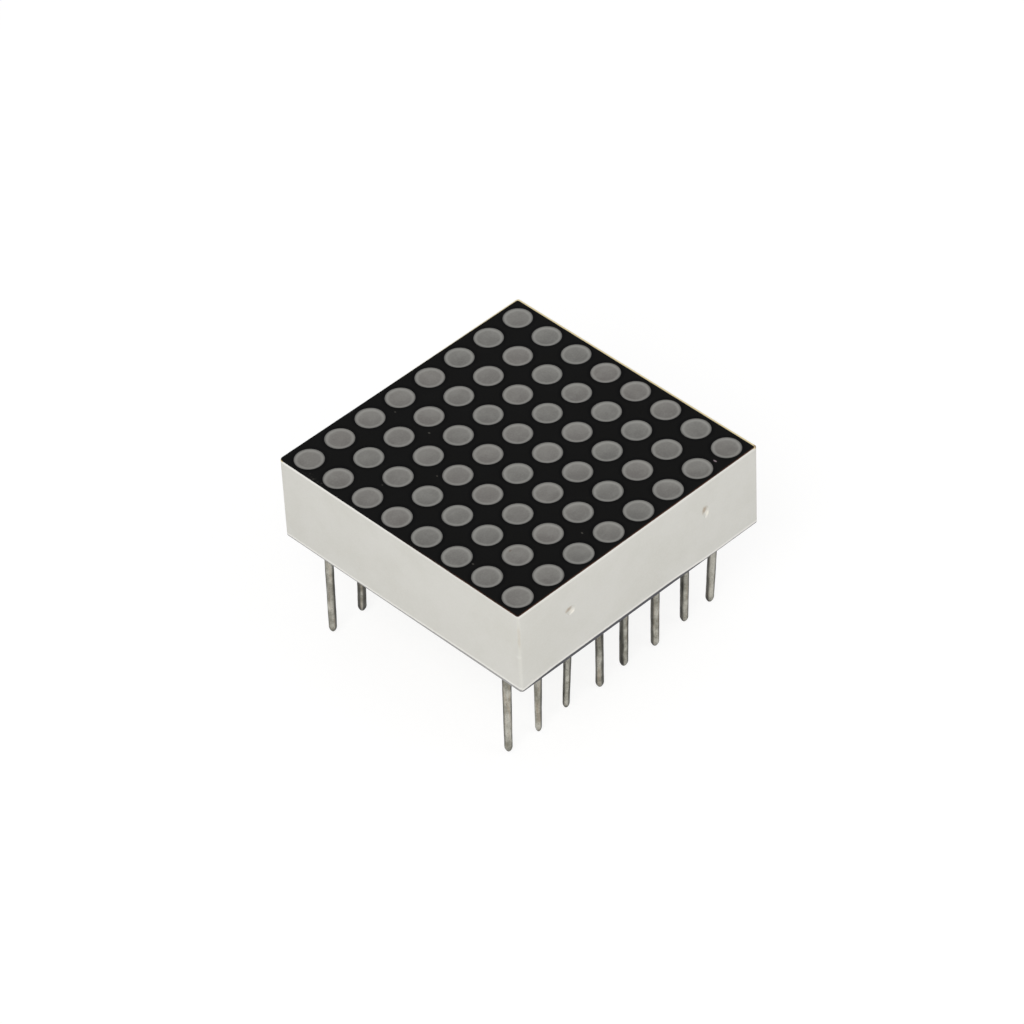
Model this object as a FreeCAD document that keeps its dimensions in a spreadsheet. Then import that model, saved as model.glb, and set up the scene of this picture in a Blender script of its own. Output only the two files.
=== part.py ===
import FreeCAD, Part
import math
import os

import PartDesign
import Sketcher

# A 20 mm LED dot matrix with eight rows of eight round dots, in millimetres.
# X runs along the two rows of pins, Z out of the lit face.
# The origin is on the back of the body, at the middle of the pin pattern.

SIZES = [
    # The grid that dots and pins share
    ("grid_pitch", 2.54, "centre to centre of dots, and of pins in a row"),
    ("dots_per_side", 8, "dots along each side, and pins in each row"),
    ("pin_row_steps", 6, "grid steps between the two rows of pins"),
    # Outside of the body
    ("dot_diameter", 1.9, "window of a dot in the front mask"),
    ("edge_land", 0.36, "from the outermost window to the side wall"),
    ("body_height", 6.2, "from the back of the body to the front of the mask"),
    ("corner_radius", 0.25, "radius of the housing's upright corners"),
    ("front_bevel", 0.1, "edge between the side walls and the front"),
    # Recess in the back of the housing, which takes the board
    ("wall", 0.6, "side wall of the housing round the recess"),
    # Two round moulding marks in the wall along the first row of pins
    ("mark_diameter", 0.5, "round mark"),
    ("mark_depth", 0.05, "depth of a mark"),
    ("mark_spacing", 11.7, "centre to centre of the marks"),
    ("mark_drop", 2.5, "from the front of the mask down to a mark's centre"),
    # Front mask, and the wells behind it
    ("mask_thick", 0.05, "black layer on the front"),
    ("mask_inset", 0.02, "from the bevel to the black layer"),
    ("well_margin", 0.06, "how far a well reaches past its window all round"),
    ("well_foot", 1.2, "width of a well where it meets the board"),
    # Board, LED chips and the resin over the back
    ("potting_depth", 0.8, "resin over the back of the board"),
    ("board_thick", 1.0, "circuit board"),
    ("board_clearance", 0.1, "gap round the board, which the resin fills"),
    ("chip_width", 0.3, "LED chip, square in plan"),
    ("chip_height", 0.2, "LED chip above the board"),
    # Pins
    ("pin_diameter", 0.5, "round tinned wire"),
    ("pin_length", 7.5, "from the back of the body to the tip"),
    ("solder_gap", 0.05, "solder between a wire and the wall of its hole"),
]

# Places and sizes that follow from the sheet, as expressions
GRID_HALF = "((Sizes.dots_per_side - 1) * Sizes.grid_pitch / 2)"
PIN_ROW_GAP = "(Sizes.pin_row_steps * Sizes.grid_pitch)"
BODY_SIDE = f"(2 * {GRID_HALF} + Sizes.dot_diameter + 2 * Sizes.edge_land)"
RECESS_SIDE = f"({BODY_SIDE} - 2 * Sizes.wall)"
BOARD_SIDE = f"({RECESS_SIDE} - 2 * Sizes.board_clearance)"
MASK_EDGE = "(Sizes.front_bevel + Sizes.mask_inset)"
MASK_SIDE = f"({BODY_SIDE} - 2 * {MASK_EDGE})"
MASK_CORNER = f"(Sizes.corner_radius - {MASK_EDGE})"
BOARD_FRONT = "(Sizes.potting_depth + Sizes.board_thick)"
HOUSING_FRONT = "(Sizes.body_height - Sizes.mask_thick)"
WELL_TOP = "(Sizes.dot_diameter + 2 * Sizes.well_margin)"
WELL_DEPTH = f"({HOUSING_FRONT} - {BOARD_FRONT})"
PIN_HOLE = "(Sizes.pin_diameter + 2 * Sizes.solder_gap)"
WELL_TAPER = f"atan(({WELL_TOP} - Sizes.well_foot) / 2 / {WELL_DEPTH})"

# Along X and along Y: how many copies, and their pitch
ALONG_ROW = ("X_Axis", "Sizes.dots_per_side", "Sizes.grid_pitch")
ALONG_COLUMN = ("Y_Axis", "Sizes.dots_per_side", "Sizes.grid_pitch")
ACROSS_PIN_ROWS = ("Y_Axis", "2", PIN_ROW_GAP)
ALONG_MARKS = ("X_Axis", "2", "Sizes.mark_spacing")

# Small round holes have as many flat sides as they need to look right
WINDOW_SIDES = 16
WELL_SIDES = 8
MARK_SIDES = 12
PIN_HOLE_SIDES = 6

# Lengths closer than this are the same
NEAR = 1e-6
# A pattern's own mark for a spacing that follows its pitch
EVEN_SPACING = -1
# The body that cuts the wells, which is no piece of the object
WELL_CUTTER = "well_cutter"

doc = FreeCAD.newDocument("LedDotMatrix")


def make_sheet():
    """The driving dimensions, one row each: name, value, what it measures."""
    sheet = doc.addObject("Spreadsheet::Sheet", "Sizes")
    for row, (alias, value, note) in enumerate(SIZES, start=1):
        sheet.set(f"A{row}", alias)
        sheet.set(f"B{row}", str(value))
        sheet.set(f"C{row}", note)
        sheet.setAlias(f"B{row}", alias)
    doc.recompute()
    return sheet


def new_body(label, x="0", y="0", z="0"):
    body = doc.addObject("PartDesign::Body", label)
    body.Label = label
    for axis, expression in zip("xyz", (x, y, z)):
        body.setExpression(f".Placement.Base.{axis}", expression)
    return body


def origin_part(body, role):
    return next(part for part in body.Origin.OriginFeatures if part.Role == role)


def new_sketch(body, name, x="0", y="0", height="0", plane="XY_Plane"):
    """A sketch on one of the body's own planes, moved along and above it."""
    sketch = body.newObject("Sketcher::SketchObject", name)
    sketch.AttachmentSupport = [(origin_part(body, plane), "")]
    sketch.MapMode = "FlatFace"
    for axis, expression in zip("xyz", (x, y, height)):
        sketch.setExpression(f".AttachmentOffset.Base.{axis}", expression)
    return sketch


def drive(sketch, constraint, name, expression):
    """Adds a constraint whose value follows an expression."""
    index = sketch.addConstraint(constraint)
    sketch.renameConstraint(index, name)
    sketch.setExpression(f"Constraints.{name}", expression)


def draw_loop(sketch, corners):
    """Closes straight lines through the corners."""
    for start, corner in enumerate(corners):
        following = (start + 1) % len(corners)
        sketch.addGeometry(Part.LineSegment(corner, corners[following]))
    for start in range(len(corners)):
        following = (start + 1) % len(corners)
        sketch.addConstraint(Sketcher.Constraint("Coincident", start, 2, following, 1))


def draw_square(sketch, side):
    """A square about the sketch's own centre."""
    signs = ((-1, -1), (1, -1), (1, 1), (-1, 1))
    draw_loop(sketch, [FreeCAD.Vector(x, y, 0) for x, y in signs])
    for line, level in enumerate(("Horizontal", "Vertical", "Horizontal", "Vertical")):
        sketch.addConstraint(Sketcher.Constraint(level, line))
    sketch.addConstraint(Sketcher.Constraint("Symmetric", 0, 1, 2, 1, -1, 1))
    drive(sketch, Sketcher.Constraint("DistanceX", 0, 1, 0, 2, 2.0), "width", side)
    drive(sketch, Sketcher.Constraint("DistanceY", 1, 1, 1, 2, 2.0), "depth", side)


def draw_rounded_square(sketch, side, radius):
    """A square about the sketch's own centre, with an arc at each corner."""
    quarter = math.pi / 2
    normal = FreeCAD.Vector(0, 0, 1)
    for corner, (x, y) in enumerate(((1, -1), (1, 1), (-1, 1), (-1, -1))):
        start = quarter * (corner - 1)
        circle = Part.Circle(FreeCAD.Vector(4 * x, 4 * y, 0), normal, 1.0)
        sketch.addGeometry(Part.ArcOfCircle(circle, start, start + quarter))
    for corner in range(4):
        following = (corner + 1) % 4
        leave = sketch.Geometry[corner].EndPoint
        arrive = sketch.Geometry[following].StartPoint
        line = sketch.addGeometry(Part.LineSegment(leave, arrive))
        sketch.addConstraint(Sketcher.Constraint("Tangent", corner, 2, line, 1))
        sketch.addConstraint(Sketcher.Constraint("Tangent", line, 2, following, 1))
        level = "Vertical" if corner % 2 == 0 else "Horizontal"
        sketch.addConstraint(Sketcher.Constraint(level, line))
    for corner in (1, 2, 3):
        sketch.addConstraint(Sketcher.Constraint("Equal", 0, corner))
    sketch.addConstraint(Sketcher.Constraint("Symmetric", 0, 3, 2, 3, -1, 1))
    centres = f"{side} - 2 * {radius}"
    drive(sketch, Sketcher.Constraint("Radius", 0, 1.0), "radius", radius)
    drive(sketch, Sketcher.Constraint("DistanceY", 0, 3, 1, 3, 8.0), "depth", centres)
    drive(sketch, Sketcher.Constraint("DistanceX", 2, 3, 1, 3, 8.0), "width", centres)


def draw_circle(sketch, diameter):
    """A circle about the sketch's own centre."""
    circle = Part.Circle(FreeCAD.Vector(0, 0, 0), FreeCAD.Vector(0, 0, 1), 1.0)
    sketch.addGeometry(circle)
    sketch.addConstraint(Sketcher.Constraint("Coincident", 0, 3, -1, 1))
    drive(sketch, Sketcher.Constraint("Diameter", 0, 2.0), "diameter", diameter)


def draw_polygon(sketch, sides, across_flats):
    """A regular polygon about the sketch's own centre, its first flat facing +X."""
    half_step = math.pi / sides
    corners = []
    for side in range(sides):
        angle = half_step * (2 * side - 1)
        corners.append(FreeCAD.Vector(math.cos(angle), math.sin(angle), 0))
    draw_loop(sketch, corners)
    through_corners = Part.Circle(FreeCAD.Vector(0, 0, 0), FreeCAD.Vector(0, 0, 1), 1.0)
    ring = sketch.addGeometry(through_corners, True)
    sketch.addConstraint(Sketcher.Constraint("Coincident", ring, 3, -1, 1))
    for side in range(sides):
        sketch.addConstraint(Sketcher.Constraint("PointOnObject", side, 1, ring))
    for side in range(1, sides):
        sketch.addConstraint(Sketcher.Constraint("Equal", 0, side))
    sketch.addConstraint(Sketcher.Constraint("Vertical", 0))
    across_corners = f"{across_flats} / cos(180 / {sides})"
    drive(sketch, Sketcher.Constraint("Diameter", ring, 2.0), "corners", across_corners)


def extrude(body, kind, name, sketch, length, reverse=False):
    """A pad grows along the sketch's normal, a pocket cuts against it, or reversed."""
    feature = body.newObject(f"PartDesign::{kind}", name)
    feature.Profile = sketch
    feature.setExpression("Length", length)
    feature.Reversed = reverse
    body.Tip = feature
    return feature


def repeat_whole(body, name, *directions):
    """Repeats the body's whole shape along one or two of its own axes."""
    doc.recompute()
    pattern = body.newObject("PartDesign::LinearPattern", name)
    for suffix, (axis, count, pitch) in zip(("", "2"), directions):
        setattr(pattern, f"Direction{suffix}", (origin_part(body, axis), [""]))
        setattr(pattern, f"Mode{suffix}", "Spacing")
        setattr(pattern, f"Spacings{suffix}", [EVEN_SPACING])
        pattern.setExpression(f"Occurrences{suffix}", count)
        pattern.setExpression(f"Offset{suffix}", pitch)
    pattern.TransformMode = "Whole shape"
    body.Tip = pattern
    return pattern


def repeat(body, feature, name, *directions):
    """Repeats one feature along one or two of the body's own axes."""
    pattern = repeat_whole(body, name, *directions)
    pattern.TransformMode = "Features"
    pattern.Originals = [feature]


def make_slab(label, side, thick, z="0", corner=None):
    """A body that starts as a square slab, with rounded upright corners if asked."""
    body = new_body(label, z=z)
    outline = new_sketch(body, f"{label}_outline")
    if corner:
        draw_rounded_square(outline, side, corner)
    else:
        draw_square(outline, side)
    slab = extrude(body, "Pad", f"{label}_slab", outline, thick)
    return body, slab


def make_well_body(label, first_row, y="0"):
    """A body that starts as the space in one well, widening from its foot."""
    body = new_body(label, y=y, z=BOARD_FRONT)
    outline = new_sketch(body, f"{label}_foot", f"-{GRID_HALF}", first_row)
    draw_polygon(outline, WELL_SIDES, "Sizes.well_foot")
    column = extrude(body, "Pad", f"{label}_column", outline, WELL_DEPTH)
    doc.recompute()
    foot, sides = [], []
    for number, face in enumerate(column.Shape.Faces, start=1):
        if face.BoundBox.ZLength > NEAR:
            sides.append(f"Face{number}")
        elif face.BoundBox.ZMax < NEAR:
            foot.append(f"Face{number}")
    taper = body.newObject("PartDesign::Draft", f"{label}_taper")
    taper.Base = (column, sides)
    taper.NeutralPlane = (column, foot)
    taper.setExpression("Angle", WELL_TAPER)
    taper.Reversed = True
    body.Tip = taper
    return body


def make_housing(sheet):
    """Moulded white reflector: side walls, 64 tapered wells, a recess in the back."""
    corner = "Sizes.corner_radius"
    body, block = make_slab("housing", BODY_SIDE, HOUSING_FRONT, corner=corner)
    doc.recompute()
    front = sheet.body_height - sheet.mask_thick
    edges = enumerate(block.Shape.Edges, start=1)
    bevel = body.newObject("PartDesign::Chamfer", "front_bevel")
    bevel.Base = (block, [f"Edge{n}" for n, edge in edges if edge.BoundBox.ZMin > front - NEAR])
    bevel.setExpression("Size", "Sizes.front_bevel")
    body.Tip = bevel

    outline = new_sketch(body, "recess_outline")
    draw_square(outline, RECESS_SIDE)
    extrude(body, "Pocket", "recess", outline, BOARD_FRONT, reverse=True)

    # The normal of this plane is -Y, so the sketch lies on the wall at -Y
    first_mark = "-Sizes.mark_spacing / 2"
    level = "Sizes.body_height - Sizes.mark_drop"
    wall = f"{BODY_SIDE} / 2"
    outline = new_sketch(body, "mark_outline", first_mark, level, wall, "XZ_Plane")
    draw_polygon(outline, MARK_SIDES, "Sizes.mark_diameter")
    mark = extrude(body, "Pocket", "mark", outline, "Sizes.mark_depth")
    repeat(body, mark, "marks", ALONG_MARKS)

    cutter = make_well_body(WELL_CUTTER, f"-{GRID_HALF}")
    repeat_whole(cutter, "well_grid", ALONG_ROW, ALONG_COLUMN)
    wells = body.newObject("PartDesign::Boolean", "wells")
    wells.Type = "Cut"
    wells.setObjects([cutter])
    body.Tip = wells


def make_front_mask():
    """Black layer on the housing's front, with a window at each dot."""
    thick = "Sizes.mask_thick"
    body, _ = make_slab("front_mask", MASK_SIDE, thick, HOUSING_FRONT, MASK_CORNER)
    first = f"-{GRID_HALF}"
    outline = new_sketch(body, "window_outline", first, first, thick)
    draw_polygon(outline, WINDOW_SIDES, "Sizes.dot_diameter")
    window = extrude(body, "Pocket", "window", outline, thick)
    repeat(body, window, "windows", ALONG_ROW, ALONG_COLUMN)


def row_place(row):
    return f"{row} * Sizes.grid_pitch - {GRID_HALF}"


def make_dot_row(row):
    """Eight dots of grey resin, each filling its well down to the board."""
    body = make_well_body(f"dot_row_{row + 1}", "0", row_place(row))
    outline = new_sketch(body, "chip_space_outline", f"-{GRID_HALF}")
    draw_square(outline, "Sizes.chip_width")
    extrude(body, "Pocket", "chip_space", outline, "Sizes.chip_height", reverse=True)
    repeat_whole(body, "dots", ALONG_ROW)


def make_led_row(row):
    """Eight LED chips on the front of the board, one under each dot."""
    body = new_body(f"led_row_{row + 1}", y=row_place(row), z=BOARD_FRONT)
    outline = new_sketch(body, "chip_outline", f"-{GRID_HALF}")
    draw_square(outline, "Sizes.chip_width")
    chip = extrude(body, "Pad", "chip", outline, "Sizes.chip_height")
    repeat(body, chip, "chips", ALONG_ROW)


def cut_pin_holes(body, top):
    """Two rows of holes that close on the roots of the pins, from the top right through."""
    first_row = f"-{PIN_ROW_GAP} / 2"
    outline = new_sketch(body, "pin_hole_outline", f"-{GRID_HALF}", first_row, top)
    draw_polygon(outline, PIN_HOLE_SIDES, PIN_HOLE)
    hole = extrude(body, "Pocket", "pin_hole", outline, top)
    repeat(body, hole, "pin_holes", ALONG_ROW, ACROSS_PIN_ROWS)


def make_circuit_board():
    """Board that closes the wells from behind and carries chips and pins."""
    thick = "Sizes.board_thick"
    back = "Sizes.potting_depth"
    body, _ = make_slab("circuit_board", BOARD_SIDE, thick, back)
    cut_pin_holes(body, thick)


def make_back_potting():
    """Resin over the board's back and round its edge, level with the housing."""
    body, _ = make_slab("back_potting", RECESS_SIDE, BOARD_FRONT)
    outline = new_sketch(body, "board_space_outline", height=BOARD_FRONT)
    draw_square(outline, BOARD_SIDE)
    extrude(body, "Pocket", "board_space", outline, "Sizes.board_thick")
    cut_pin_holes(body, BOARD_FRONT)


def make_pin(number, step, side):
    """A straight wire below the body, and its root with the solder that fills its hole."""
    x = f"{step} * Sizes.grid_pitch - {GRID_HALF}"
    y = f"{side} * {PIN_ROW_GAP} / 2"
    body = new_body(f"pin_{number:02d}", x, y, "-Sizes.pin_length")
    outline = new_sketch(body, "wire_outline")
    draw_circle(outline, "Sizes.pin_diameter")
    extrude(body, "Pad", "wire", outline, "Sizes.pin_length")
    outline = new_sketch(body, "root_outline", height="Sizes.pin_length")
    draw_polygon(outline, PIN_HOLE_SIDES, PIN_HOLE)
    extrude(body, "Pad", "root", outline, BOARD_FRONT)


def make_pins(sheet):
    """Pins are numbered along the row at -Y and back along the row at +Y."""
    count = int(sheet.dots_per_side)
    for step in range(count):
        make_pin(step + 1, step, -1)
        make_pin(2 * count - step, step, 1)


def check_and_export():
    """Stops on a failed object or shape, then writes one file for each piece."""
    doc.recompute()
    for part in doc.Objects:
        faults = {"Invalid", "Error"} & set(part.State)
        if faults:
            raise RuntimeError(f"{part.Label}: {', '.join(sorted(faults))}")
    bodies = [part for part in doc.Objects if part.isDerivedFrom("PartDesign::Body")]
    pieces = [body for body in bodies if body.Label != WELL_CUTTER]
    for body in pieces:
        if body.Shape.isNull() or not body.Shape.isValid() or not body.Shape.Solids:
            raise RuntimeError(f"{body.Label} has no valid solid")
    os.makedirs("parts", exist_ok=True)
    for body in pieces:
        body.Shape.exportStep(f"parts/{body.Label}.step")
        print(f"{body.Label}: {len(body.Shape.Solids)} solids, {body.Shape.Volume:.3f} mm3")


sheet = make_sheet()
make_housing(sheet)
make_front_mask()
for row in range(int(sheet.dots_per_side)):
    make_dot_row(row)
    make_led_row(row)
make_circuit_board()
make_back_potting()
make_pins(sheet)
check_and_export()
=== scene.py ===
import math
import random

import bmesh
import bpy
from mathutils import Matrix, Vector, noise


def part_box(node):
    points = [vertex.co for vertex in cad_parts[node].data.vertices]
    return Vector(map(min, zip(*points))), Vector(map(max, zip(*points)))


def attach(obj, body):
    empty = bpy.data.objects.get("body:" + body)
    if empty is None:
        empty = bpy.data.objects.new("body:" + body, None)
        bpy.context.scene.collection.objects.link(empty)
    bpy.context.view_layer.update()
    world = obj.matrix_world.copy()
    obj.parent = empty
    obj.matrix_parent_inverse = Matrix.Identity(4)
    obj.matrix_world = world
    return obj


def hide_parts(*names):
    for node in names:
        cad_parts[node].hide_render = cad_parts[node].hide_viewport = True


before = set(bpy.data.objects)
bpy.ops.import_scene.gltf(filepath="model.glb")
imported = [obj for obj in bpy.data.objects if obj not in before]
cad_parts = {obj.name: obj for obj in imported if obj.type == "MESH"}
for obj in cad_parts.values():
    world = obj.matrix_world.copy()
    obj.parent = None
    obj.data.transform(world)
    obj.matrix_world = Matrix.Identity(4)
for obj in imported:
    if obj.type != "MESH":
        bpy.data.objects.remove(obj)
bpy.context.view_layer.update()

# Every piece is drawn in millimetres, and set_piece() brings it to metres.
# X runs along the rows of pins and Z out of the lit face. The photograph looks from -X and -Y.
MM = 0.001
PER_METRE = 1.0 / MM

# Sizes that the frame gives
housing_low, housing_high = (corner * PER_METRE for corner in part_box("housing"))
mask_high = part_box("front_mask")[1] * PER_METRE
board_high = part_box("circuit_board")[1] * PER_METRE
potting_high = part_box("back_potting")[1] * PER_METRE
first_pin_low, first_pin_high = (corner * PER_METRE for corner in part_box("pin_01"))
BODY_HALF = housing_high.x
BODY_BACK = housing_low.z
SHELL_TOP = housing_high.z
FACE = mask_high.z
RECESS_TOP = board_high.z
POTTING_HALF = potting_high.x
POTTING_TOP = potting_high.z
PIN_ROW_HALF = -(first_pin_high.y + first_pin_low.y) / 2
PIN_TIP = first_pin_low.z

# Sizes of the grid and of the small forms
PITCH = 2.54
DOTS = 8
GRID_HALF = PITCH * (DOTS - 1) / 2
DOT_RADIUS = 0.948
WELL_MOUTH = 1.01
WELL_FOOT = 0.6
PIN_RADIUS = 0.25
WALL_CORNER = 0.22
UPPER_EDGE = 0.05
LOWER_EDGE = 0.06
RECESS_HALF = 9.6
RECESS_CORNER = 0.2

# The moulding marks: place along the wall and height, half width, half height
MARKS = ((-5.92, 3.76, 0.38, 0.36), (5.66, 3.86, 0.3, 0.5))
MARK_DEPTH = 0.08

# The print sits a little off the middle of the body, so one side keeps a bare rim.
PRINT_X, PRINT_Y = -0.088, -0.063
INK_LEFT, INK_RIGHT = -10.19, 10.01
INK_FRONT = -10.165
INK_BACK_LEFT, INK_BACK_RIGHT = 10.18, 10.05
INK_CORNERS = (0.14, 0.24, 0.14, 0.14)

# Taller than the part, so that all heights fall into the same cell of the grid of dots
CELL_HEIGHT = 1000.0

SEED = 11
random.seed(SEED)


def linear(value):
    """One sRGB channel from 0 to 255 as a linear value."""
    share = value / 255
    return share / 12.92 if share <= 0.04045 else ((share + 0.055) / 1.055) ** 2.4


def paint(red, green, blue):
    """A colour given in sRGB from 0 to 255."""
    return (linear(red), linear(green), linear(blue), 1.0)


# Materials

class Finish:
    """A principled material whose colour, roughness and bump follow from the place on the object."""

    def __init__(self, name, **constants):
        self.material = bpy.data.materials.new(name)
        self.material.use_nodes = True
        self.tree = self.material.node_tree
        self.shader = self.tree.nodes["Principled BSDF"]
        for socket, value in constants.items():
            self.shader.inputs[socket.replace("_", " ")].default_value = value
        coordinates = self.tree.nodes.new("ShaderNodeTexCoord")
        self.place = self.vector("SCALE", coordinates.outputs["Object"], scale=PER_METRE)

    def put(self, socket, value):
        """Links a node's output to a socket, or writes a plain value there."""
        if isinstance(value, bpy.types.NodeSocket):
            self.tree.links.new(value, socket)
        else:
            socket.default_value = value

    def vector(self, operation, first, second=None, scale=None, output=0):
        node = self.tree.nodes.new("ShaderNodeVectorMath")
        node.operation = operation
        self.put(node.inputs[0], first)
        if second is not None:
            self.put(node.inputs[1], second)
        if scale is not None:
            node.inputs["Scale"].default_value = scale
        return node.outputs[output]

    def maths(self, operation, first, second=0.0):
        node = self.tree.nodes.new("ShaderNodeMath")
        node.operation = operation
        self.put(node.inputs[0], first)
        self.put(node.inputs[1], second)
        return node.outputs[0]

    def times(self, first, second):
        return self.maths("MULTIPLY", first, second)

    def axes(self, place=None):
        """The three parts of a place, which is the point on the object unless one is given."""
        node = self.tree.nodes.new("ShaderNodeSeparateXYZ")
        self.put(node.inputs[0], place or self.place)
        return node.outputs

    def noise(self, scale, detail=3.0, roughness=0.55, stretch=None):
        """Noise from 0 to 1 with that many features a millimetre."""
        where = self.vector("MULTIPLY", self.place, stretch) if stretch else self.place
        node = self.tree.nodes.new("ShaderNodeTexNoise")
        self.put(node.inputs["Vector"], where)
        node.inputs["Scale"].default_value = scale
        node.inputs["Detail"].default_value = detail
        node.inputs["Roughness"].default_value = roughness
        return node.outputs["Fac"]

    def between(self, value, low, high, to_low=0.0, to_high=1.0):
        """A smooth step of value from low to high."""
        node = self.tree.nodes.new("ShaderNodeMapRange")
        node.interpolation_type = "SMOOTHSTEP"
        self.put(node.inputs["Value"], value)
        node.inputs["From Min"].default_value = low
        node.inputs["From Max"].default_value = high
        node.inputs["To Min"].default_value = to_low
        node.inputs["To Max"].default_value = to_high
        return node.outputs["Result"]

    def blob(self, centre, radii, edge, ragged, scale=3.0):
        """1 inside an ellipsoid about centre and 0 outside, with a soft and ragged edge."""
        offset = self.vector("SUBTRACT", self.place, centre)
        scaled = self.vector("DIVIDE", offset, radii)
        distance = self.vector("LENGTH", scaled, output=1)
        wave = self.maths("SUBTRACT", self.noise(scale), 0.5)
        distance = self.maths("ADD", distance, self.times(wave, ragged))
        return self.between(distance, 1.0 - edge, 1.0, 1.0, 0.0)

    def cover(self, colour, over, mask, share=1.0):
        """The colour with another over it where the mask is 1, at that share."""
        if share != 1.0:
            mask = self.times(mask, share)
        node = self.tree.nodes.new("ShaderNodeMix")
        node.data_type = "RGBA"
        self.put(node.inputs["Factor"], mask)
        self.put(node.inputs["A"], colour)
        self.put(node.inputs["B"], over)
        return node.outputs["Result"]

    def patch(self, colour, over, share, centre, radii, **edge):
        """The colour with a soft and ragged patch of another over it."""
        return self.cover(colour, over, self.blob(centre, radii, **edge), share)

    def from_dot(self):
        """The cell of the nearest dot, the distance from its centre, and the place about it."""
        corner = (PRINT_X - GRID_HALF - PITCH / 2, PRINT_Y - GRID_HALF - PITCH / 2, 0.0)
        offset = self.vector("SUBTRACT", self.place, corner)
        step = self.vector("DIVIDE", offset, (PITCH, PITCH, CELL_HEIGHT))
        cell = self.vector("FLOOR", step)
        local = self.vector("SUBTRACT", self.vector("FRACTION", step), (0.5, 0.5, 0.0))
        flat = self.vector("MULTIPLY", local, (PITCH, PITCH, 0.0))
        return cell, self.vector("LENGTH", flat, output=1), flat

    def attribute(self, name):
        node = self.tree.nodes.new("ShaderNodeAttribute")
        node.attribute_name = name
        return node.outputs["Fac"]

    def bump(self, height, depth, below=None):
        """A bump of that depth in millimetres, over another if one is given."""
        node = self.tree.nodes.new("ShaderNodeBump")
        self.put(node.inputs["Height"], height)
        node.inputs["Distance"].default_value = depth * MM
        node.inputs["Strength"].default_value = 1.0
        if below is not None:
            self.put(node.inputs["Normal"], below)
        return node.outputs["Normal"]

    def finish(self, colour, roughness, normal):
        self.put(self.shader.inputs["Base Color"], colour)
        self.put(self.shader.inputs["Roughness"], roughness)
        self.put(self.shader.inputs["Normal"], normal)
        return self.material


WALL_WHITE = paint(220, 219, 213)
WALL_SHADE = paint(216, 215, 208)
WALL_LIGHT = paint(232, 232, 228)
# Colour of the painted highlights along the edges of the walls, and of one pale fleck on the near corner
WALL_HIGHLIGHT_AND_FLECK = paint(248, 247, 242)
FRINGE_BROWN = paint(128, 100, 84)
FRINGE_CREAM = paint(230, 212, 160)
# Painted shadow along the foot of the walls, under the body
FOOT_PAINTED_SHADOW = paint(33, 33, 48)
FOOT_PAINTED_SHADOW_GREY = paint(132, 131, 134)
SCUFF_TAN = paint(186, 172, 150)
# Painted shade and painted highlight of the moulding marks
MARK_PAINTED_SHADE = paint(168, 146, 118)
MARK_PAINTED_HIGHLIGHT = paint(238, 234, 224)


def add_painted_foot_shade(skin, colour, front_wall, side_wall):
    """A painted shadow under a painted highlight along the foot of the wall at -Y, and a grey painted
    shadow on the others.
    """
    x, y, z = skin.axes()
    wavy_z = skin.maths("ADD", z, skin.times(skin.noise(1.6), -0.05))
    from_thickest = skin.maths("ABSOLUTE", skin.maths("ADD", x, 2.5))
    front_height = skin.between(from_thickest, 4.5, 9.0, 0.26, 0.08)
    side_height = skin.between(y, -7.0, 5.0, 0.2, 0.1)
    off_the_back = skin.between(z, BODY_BACK + 0.002, BODY_BACK + 0.012)
    # Each entry: height of the line, its wall, the colour of its painted shadow, and its share
    lines = ((front_height, front_wall, FOOT_PAINTED_SHADOW, 0.95), (side_height, side_wall, FOOT_PAINTED_SHADOW_GREY, 0.8))
    for height, wall, dark, share in lines:
        above = skin.maths("SUBTRACT", wavy_z, height)
        wall = skin.times(wall, off_the_back)
        # Painted highlight: a pale band where the rounded lower edge catches light
        pale = skin.times(skin.between(above, 0.06, 0.22, 1.0, 0.0), wall)
        colour = skin.cover(colour, WALL_HIGHLIGHT_AND_FLECK, pale, 0.75)
        # Painted shadow: the dark band below it
        line = skin.times(skin.between(above, -0.045, 0.015, 1.0, 0.0), wall)
        colour = skin.cover(colour, dark, line, share)
    return colour


def add_painted_upper_highlight(skin, colour, front_wall, side_wall):
    """A painted highlight along the top of the walls, and cream on the bare rim behind the ink, with a
    painted highlight on the rim's outer edge.
    """
    x, y, z = skin.axes()
    wave = skin.times(skin.noise(0.8), 0.06)
    # Painted highlight where the rounded upper edge catches light
    edge_highlight = skin.between(skin.maths("ADD", z, wave), SHELL_TOP - 0.19, SHELL_TOP - 0.09)
    side_share = skin.times(skin.between(y, -9.5, 9.0, 0.25, 0.9), side_wall)
    share = skin.maths("ADD", side_share, skin.times(front_wall, 0.45))
    colour = skin.cover(colour, WALL_HIGHLIGHT_AND_FLECK, skin.times(edge_highlight, share))

    rim = skin.maths("MAXIMUM", skin.between(x, 9.8, 9.9), skin.between(y, 9.8, 9.9))
    wander = skin.times(skin.noise(1.2, detail=4.0), 0.05)
    near_top = skin.between(skin.maths("ADD", z, wander), SHELL_TOP - 0.05, SHELL_TOP)
    # Painted highlight on the outermost part of the rim
    outer = skin.between(skin.maths("MAXIMUM", x, y), BODY_HALF - 0.09, BODY_HALF - 0.01)
    rim_cream_and_highlight = skin.cover(FRINGE_CREAM, WALL_HIGHLIGHT_AND_FLECK, outer)
    return skin.cover(colour, rim_cream_and_highlight, skin.times(near_top, rim), 0.9)


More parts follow.
